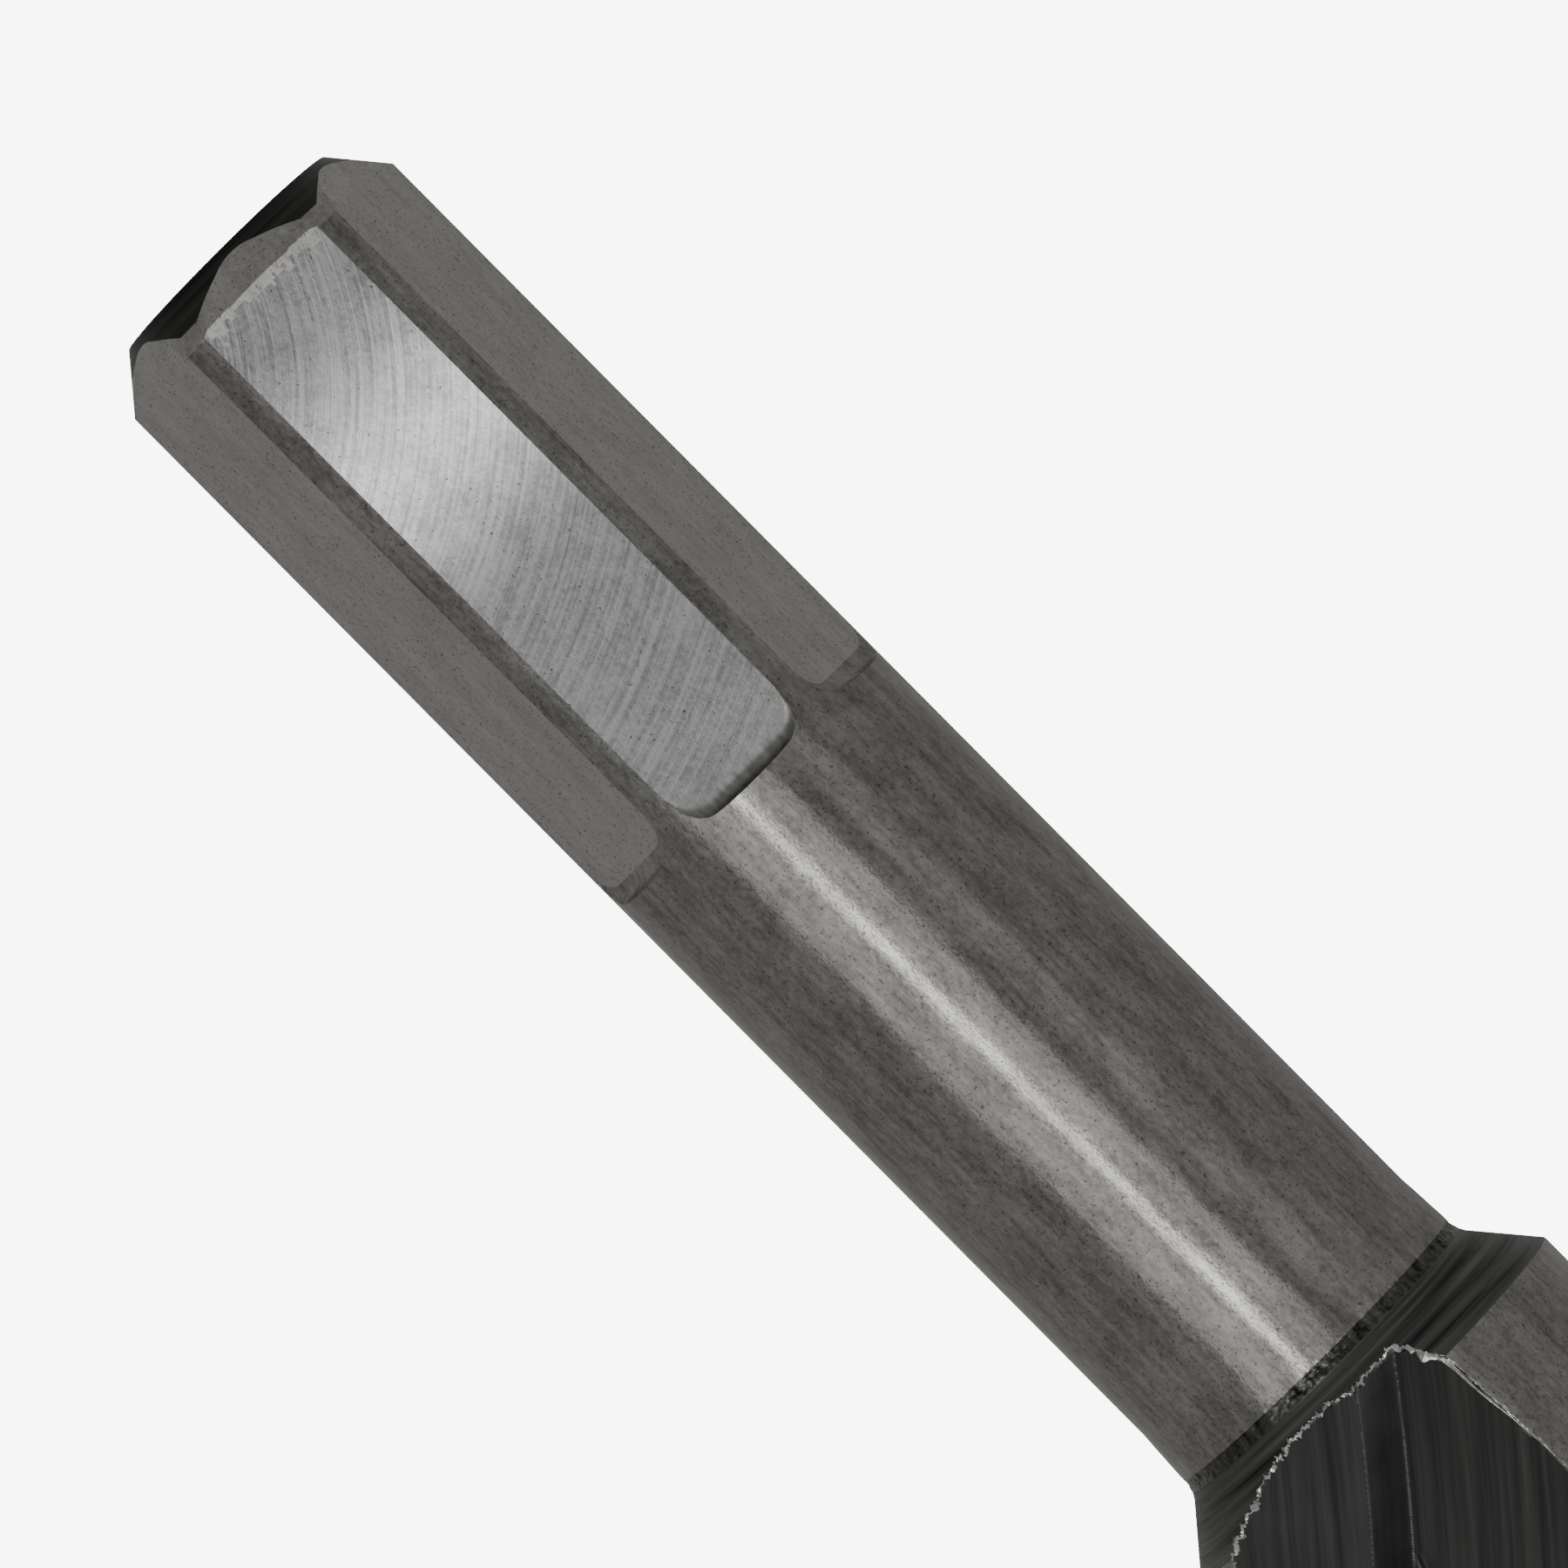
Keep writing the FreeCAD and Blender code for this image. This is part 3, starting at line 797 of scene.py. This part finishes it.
def math_node(tree, operation, a, b=0.0, c=None):
    """A math node; each operand is a socket or a number."""
    made = node(tree, "Math", operation=operation)
    for slot, value in enumerate([a, b] + ([c] if c is not None else [])):
        if isinstance(value, (int, float)):
            made.inputs[slot].default_value = value
        else:
            tree.links.new(value, made.inputs[slot])
    return made.outputs[0]

# %% [markdown]
# ## Mottle and cut lines
#
# Mottle is clouds, grain and drawn streaks with small pits.  Cut lines are noise
# stretched along one axis until it reads as fine parallel scratches.

# %% The two patterns
def build_mottle(tree, given, result):
    """Clouds, streaks along the bar and specks."""
    vector = given.outputs["Vector"]
    clouds = noise(tree, vector, 1.0, 4.0, (0.4, 1, 1), 0.6)
    grain = noise(tree, vector, 5.5, 3.0, (0.6, 1, 1), 0.6)
    specks = noise(tree, vector, 9.0, 2.0, (1, 1, 1), 0.6)
    streak = noise(tree, vector, 4.0, 2.0, (0.07, 1, 1), 0.6)
    blend = math_node(tree, "MULTIPLY_ADD", clouds, 0.4, math_node(tree, "MULTIPLY", grain, 0.35))
    blend = math_node(tree, "MULTIPLY_ADD", streak, 0.25, blend)
    tone = ramp(tree, blend, [(0.38, 0.0), (0.62, 1.0)])
    color = mix_color(tree, tone, given.outputs["Dark"], given.outputs["Light"])
    pit = ramp(tree, specks, [(0.30, (0.25, 0.24, 0.22)), (0.40, (1.0, 1.0, 1.0))])
    spotted = node(tree, "Mix", data_type="RGBA", blend_type="MULTIPLY")
    spotted.inputs[0].default_value = 0.8
    tree.links.new(color, spotted.inputs[6])
    tree.links.new(pit, spotted.inputs[7])
    rough = math_node(tree, "MULTIPLY_ADD", grain, 0.10, 0.12)
    height = math_node(tree, "MULTIPLY_ADD", grain, 0.4, math_node(tree, "MULTIPLY", specks, 1.4))
    tree.links.new(spotted.outputs[2], result.inputs["Color"])
    tree.links.new(rough, result.inputs["Roughness"])
    tree.links.new(height, result.inputs["Height"])


def build_lines(tree, given, result):
    """Fine lines along the first axis of the vector, broken by a slow change of tone."""
    vector = given.outputs["Vector"]
    fine = noise(tree, vector, 3.4, 3.0, (0.02, 1, 1), 0.65)
    coarse = noise(tree, vector, 0.9, 2.0, (0.03, 1, 1), 0.5)
    patch = noise(tree, vector, 0.5, 3.0, (0.6, 1, 1), 0.55)
    blend = math_node(tree, "MULTIPLY_ADD", fine, 0.6, math_node(tree, "MULTIPLY", coarse, 0.4))
    tone = ramp(tree, blend, [(0.38, 0.0), (0.66, 1.0)])
    color = mix_color(tree, tone, given.outputs["Dark"], given.outputs["Light"])
    rough = math_node(tree, "MULTIPLY_ADD", patch, 0.3, 0.22)
    tree.links.new(color, result.inputs["Color"])
    tree.links.new(rough, result.inputs["Roughness"])
    tree.links.new(blend, result.inputs["Height"])


MOTTLE = pattern_group("mottle", build_mottle)
LINES = pattern_group("cut_lines", build_lines)
print("groups", MOTTLE.name, LINES.name)

# %% [markdown]
# ## Coordinates
#
# A wrapped picture would stretch at the cone and show a seam.  Coordinates in millimetres
# do neither, and a pattern's scale is then how many features fit in one millimetre.

# %% Coordinates for the patterns
def in_mm(tree):
    """Object coordinates in millimetres."""
    where = node(tree, "TexCoord")
    scale = node(tree, "VectorMath", operation="SCALE")
    scale.inputs["Scale"].default_value = 1 / MM
    tree.links.new(where.outputs["Object"], scale.inputs[0])
    return scale.outputs["Vector"]


def along_lay(tree):
    """The texture map that runs with the cut, in millimetres."""
    return node(tree, "UVMap", uv_map="lay").outputs["UV"]

# %% [markdown]
# ## One finish
#
# All parts are bare metal, so a finish is a metal shader fed by a pattern group, with a
# faint bump from the group's height.

# %% A finish from a pattern
def finish_material(name, group, dark, light, vector, bump, rough_add=0.0):
    """A metal finish from one pattern group."""
    material = bpy.data.materials.new(name)
    material.use_nodes = True
    tree = material.node_tree
    shader = tree.nodes["Principled BSDF"]
    shader.inputs["Metallic"].default_value = 1.0
    pattern = tree.nodes.new("ShaderNodeGroup")
    pattern.node_tree = group
    pattern.inputs["Dark"].default_value = (*dark, 1)
    pattern.inputs["Light"].default_value = (*light, 1)
    tree.links.new(vector(tree), pattern.inputs["Vector"])
    tree.links.new(pattern.outputs["Color"], shader.inputs["Base Color"])
    rough = pattern.outputs["Roughness"]
    if rough_add:
        rough = math_node(tree, "ADD", rough, rough_add)
    tree.links.new(rough, shader.inputs["Roughness"])
    relief = node(tree, "Bump", in_Strength=bump, in_Distance=0.02 * MM)
    tree.links.new(pattern.outputs["Height"], relief.inputs["Height"])
    tree.links.new(relief.outputs["Normal"], shader.inputs["Normal"])
    return material

# %% [markdown]
# ## The milled flat
#
# A face mill leaves arcs about a far centre.  A painted highlight also brightens the
# colour in one soft patch along the bar, a bell curve that stands in for the lights' reflection.

# %% The milled flat
# Middle, half width and lowest level of the painted highlight along the milled flat.
PAINTED_GLINT_AT = 9.5
PAINTED_GLINT_HALF = 3.2
PAINTED_GLINT_FLOOR = 0.27


def milled_sheen_material(name, dark, light, centre, bump):
    """Milled flat: arcs about a far centre, blotches, pits, and a painted highlight in one patch.

    The painted highlight is a bell curve along the bar that scales the colour: e to the
    power of minus the squared distance from its middle, measured in half widths.
    """
    material = bpy.data.materials.new(name)
    material.use_nodes = True
    tree = material.node_tree
    shader = tree.nodes["Principled BSDF"]
    shader.inputs["Metallic"].default_value = 1.0
    place = in_mm(tree)
    split = node(tree, "SeparateXYZ")
    tree.links.new(place, split.inputs[0])
    off_x = math_node(tree, "SUBTRACT", split.outputs[0], centre[0])
    off_y = math_node(tree, "SUBTRACT", split.outputs[1], centre[1])
    square = math_node(tree, "MULTIPLY_ADD", off_x, off_x, math_node(tree, "MULTIPLY", off_y, off_y))
    radius = math_node(tree, "SQRT", square)
    swing = math_node(tree, "ARCTAN2", off_y, off_x)
    arc = node(tree, "CombineXYZ")
    tree.links.new(math_node(tree, "MULTIPLY", swing, 0.8), arc.inputs[0])
    tree.links.new(radius, arc.inputs[1])
    fine = noise(tree, arc.outputs[0], 5.5, 3.0, (0.35, 1, 1), 0.6)
    cloud = noise(tree, place, 0.9, 4.0, (1, 1, 1), 0.62)
    specks = noise(tree, place, 7.0, 2.0, (1, 1, 1), 0.6)
    grain = noise(tree, place, 4.5, 4.0, (1, 1, 1), 0.7)
    blend = math_node(tree, "MULTIPLY_ADD", fine, 0.42, math_node(tree, "MULTIPLY", cloud, 0.25))
    blend = math_node(tree, "MULTIPLY_ADD", grain, 0.33, blend)
    tone = ramp(tree, blend, [(0.41, dark), (0.56, light)])
    # Painted highlight: the colour is scaled by a bell curve along the bar, brightest at its middle.
    station = math_node(tree, "SUBTRACT", split.outputs[0], SHANK_END + PAINTED_GLINT_AT)
    far = math_node(tree, "DIVIDE", station, PAINTED_GLINT_HALF)
    fall = math_node(tree, "MULTIPLY", math_node(tree, "MULTIPLY", far, far), -1.0)
    bell = math_node(tree, "POWER", math.e, fall)
    level = math_node(tree, "MULTIPLY_ADD", bell, 1.0 - PAINTED_GLINT_FLOOR, PAINTED_GLINT_FLOOR)
    pit = ramp(tree, specks, [(0.27, 0.25), (0.33, 1.0)])
    for factor in (level, pit):
        shaded = node(tree, "Mix", data_type="RGBA", blend_type="MULTIPLY")
        shaded.inputs[0].default_value = 1.0
        tree.links.new(tone, shaded.inputs[6])
        tree.links.new(factor, shaded.inputs[7])
        tone = shaded.outputs[2]
    tree.links.new(tone, shader.inputs["Base Color"])
    rough = math_node(tree, "MULTIPLY_ADD", specks, 0.25, 0.22)
    tree.links.new(rough, shader.inputs["Roughness"])
    relief = node(tree, "Bump", in_Strength=bump, in_Distance=0.02 * MM)
    tree.links.new(math_node(tree, "ADD", fine, math_node(tree, "MULTIPLY", specks, 0.4)),
                   relief.inputs["Height"])
    tree.links.new(relief.outputs["Normal"], shader.inputs["Normal"])
    return material

# %% [markdown]
# ## Turning lines
#
# On the cone and the bevel the tool ran round the axis, so the stripes do too.

# %% Turning lines
def turned_lines(tree):
    """Millimetres turned so that a pattern changes along the tool and hardly round it."""
    swap = node(tree, "Mapping")
    swap.inputs["Rotation"].default_value = (0, 0, math.pi / 2)
    swap.inputs["Scale"].default_value = (1, 1, 0.03)
    tree.links.new(in_mm(tree), swap.inputs["Vector"])
    return swap.outputs["Vector"]

# %% [markdown]
# ## The finishes
#
# Each finish is named for the surface it covers and given a dark and a light tone.  The
# bevel, ring and cone are darkest.  The milled flat is lightest because painted sheen is
# in its colour: it is the flat that faces the camera and the lights.

# %% All finishes
skin = finish_material("mill_skin", MOTTLE, (0.155, 0.151, 0.139), (0.345, 0.340, 0.324), in_mm, 0.17)
# The top flat's tones, far lighter than the side flats', are painted sheen; its arcs and pits are its own.
milled_sheen = milled_sheen_material("milled_flat_sheen", (0.58, 0.58, 0.575), (1.0, 1.0, 0.995), (-82.0, -9.0), 0.9)
side = finish_material("side_flat", MOTTLE, (0.34, 0.338, 0.332), (0.45, 0.448, 0.442), in_mm, 0.1)
band = finish_material("eased_band", MOTTLE, (0.28, 0.275, 0.262), (0.42, 0.415, 0.40), in_mm, 0.15)
wall = finish_material("runout_wall", LINES, (0.16, 0.158, 0.152), (0.33, 0.327, 0.318), in_mm, 0.2)
bevel = finish_material("dark_bevel", LINES, (0.012, 0.012, 0.012), (0.05, 0.05, 0.049), turned_lines, 0.2)
cone = finish_material("turned_cone", LINES, (0.02, 0.02, 0.02), (0.19, 0.19, 0.185), turned_lines, 0.5)
flute = finish_material("ground_flute", LINES, (0.055, 0.055, 0.055), (0.12, 0.12, 0.118), along_lay, 0.3)
# A lighter finish for a band across the flute: painted highlight, not a step in the metal.
step = finish_material("flute_highlight_band", LINES, (0.15, 0.15, 0.15), (0.27, 0.27, 0.265), along_lay, 0.2)
ring = finish_material("weld_ring", MOTTLE, (0.01, 0.01, 0.01), (0.14, 0.138, 0.13), in_mm, 0.45)
rag = finish_material("burr_metal", MOTTLE, (0.25, 0.245, 0.235), (0.85, 0.845, 0.83), in_mm, 0.6)
carbide = finish_material("carbide", MOTTLE, (0.16, 0.16, 0.17), (0.34, 0.34, 0.35), in_mm, 0.3,
                          rough_add=0.1)
brass = finish_material("braze_film", MOTTLE, (0.42, 0.30, 0.12), (0.80, 0.62, 0.30), in_mm, 0.4)
PALETTE = [skin, milled_sheen, bevel, cone, flute, ring, side, band, wall, step]
print("finishes", [material.name for material in PALETTE])

# %% [markdown]
# ## Dressing the pieces
#
# The computed skins stand in for the two steel solids.  The carbide plates and braze
# films keep their CAD shape and only receive a finish.

# %% Give the pieces their finishes
for obj in (shank_obj, shoulder_obj, entry_obj, spiral_obj, head_obj):
    for material in PALETTE:
        obj.data.materials.append(material)
for obj in burrs:
    obj.data.materials.append(rag)
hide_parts("hex_shank")
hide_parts("fluted_body")
for node_name, obj in frame["nodes"].items():
    if "cutter" in node_name or "braze" in node_name:
        obj.data.materials.clear()
        obj.data.materials.append(carbide if "cutter" in node_name else brass)
        print(node_name, "wears", obj.data.materials[0].name)

# %% [markdown]
# ## Floor, lights and camera
#
# A pale floor and large soft lights.  The long narrow light above draws the thin bright
# line down the neck; the broad one behind it opens the grey zone on each side of it.
# Seen by the camera the floor glows white; to the tool's metal it is plain grey.

# %% Floor
def floor():
    """A pale floor under the tool."""
    mesh = bpy.data.meshes.new("floor")
    half = 1.2
    corners = [(-half, -half, 0), (half, -half, 0), (half, half, 0), (-half, half, 0)]
    mesh.from_pydata(corners, [], [(0, 1, 2, 3)])
    obj = bpy.data.objects.new("floor", mesh)
    bpy.context.scene.collection.objects.link(obj)
    material = bpy.data.materials.new("pale_floor")
    material.use_nodes = True
    shader = material.node_tree.nodes["Principled BSDF"]
    tree = material.node_tree
    shader.inputs["Base Color"].default_value = (0.48, 0.475, 0.46, 1)
    shader.inputs["Roughness"].default_value = 0.9
    glow = tree.nodes.new("ShaderNodeEmission")
    glow.inputs["Strength"].default_value = 8.0
    seen = tree.nodes.new("ShaderNodeLightPath")
    blend = tree.nodes.new("ShaderNodeMixShader")
    tree.links.new(seen.outputs["Is Camera Ray"], blend.inputs[0])
    tree.links.new(shader.outputs[0], blend.inputs[1])
    tree.links.new(glow.outputs[0], blend.inputs[2])
    tree.links.new(blend.outputs[0], tree.nodes["Material Output"].inputs["Surface"])
    mesh.materials.append(material)
    return obj


floor_obj = floor()
print("floor", [round(v, 2) for v in floor_obj.dimensions])

# %% [markdown]
# ## Soft lights
#
# Large rectangles give a round bar broad soft bands instead of hard glints.

# %% A rectangular light
def area(name, place, aim, size_x, size_y, power):
    """A rectangular light at a place, facing a point."""
    data = bpy.data.lights.new(name, "AREA")
    data.shape = "RECTANGLE"
    data.size, data.size_y = size_x, size_y
    data.energy = power
    obj = bpy.data.objects.new(name, data)
    bpy.context.scene.collection.objects.link(obj)
    look = (Vector(aim) - Vector(place)).to_track_quat("-Z", "Y").to_matrix().to_4x4()
    obj.matrix_world = Matrix.Translation(place) @ look
    return obj

# %% [markdown]
# ## Camera
#
# A long lens straight above, turned so that the tool lies from corner to corner.

# %% Camera
VIEW_ALONG = 26.0
VIEW_SIDE = 0.74
VIEW_WIDTH = 53.02
VIEW_TURN = math.radians(45.19)
LENS = 300.0
SENSOR = 36.0
target = Vector(((SHANK_END + VIEW_ALONG) * MM, VIEW_SIDE * MM, AXIS_Z * MM))

right = Vector((math.cos(VIEW_TURN), math.sin(VIEW_TURN), 0))
up = Vector((-math.sin(VIEW_TURN), math.cos(VIEW_TURN), 0))
camera_data = bpy.data.cameras.new("camera")
camera_data.lens = LENS
camera_data.sensor_width = SENSOR
camera = bpy.data.objects.new("camera", camera_data)
bpy.context.scene.collection.objects.link(camera)
distance = VIEW_WIDTH * MM * LENS / SENSOR
turn = Matrix((right, up, Vector((0, 0, 1)))).transposed().to_4x4()
camera.matrix_world = Matrix.Translation(target + Vector((0, 0, distance))) @ turn
bpy.context.scene.camera = camera
print("camera height", round(distance, 3), "m")

# %% [markdown]
# ## Placing the lights
#
# A light is placed at an angle round the tool.  A surface turned by half that angle
# sends it to the camera.

# %% Lights and world
def around(turn_deg, reach):
    """A place beside the tool, turned about its axis from straight up toward -Y."""
    turned = math.radians(turn_deg)
    return Vector(((SHANK_END + VIEW_ALONG) * MM, -reach * math.sin(turned),
                   AXIS_Z * MM + reach * math.cos(turned)))


LINE_TURN, BROAD_TURN, LEFT_TURN = 13, 17, -38
area("line_light", around(LINE_TURN, 0.7), target, 0.9, 0.036, 0.75)
area("broad_light", around(BROAD_TURN, 0.9), target, 1.2, 1.03, 2.7)
area("left_light", around(LEFT_TURN, 0.9), target, 1.2, 0.32, 0.22)

print("lights at", LINE_TURN, BROAD_TURN, LEFT_TURN, "degrees")

world = bpy.data.worlds.new("world")
bpy.context.scene.world = world
world.use_nodes = True
world.node_tree.nodes["Background"].inputs["Color"].default_value = (1.0, 0.995, 0.985, 1)
world.node_tree.nodes["Background"].inputs["Strength"].default_value = 0.37
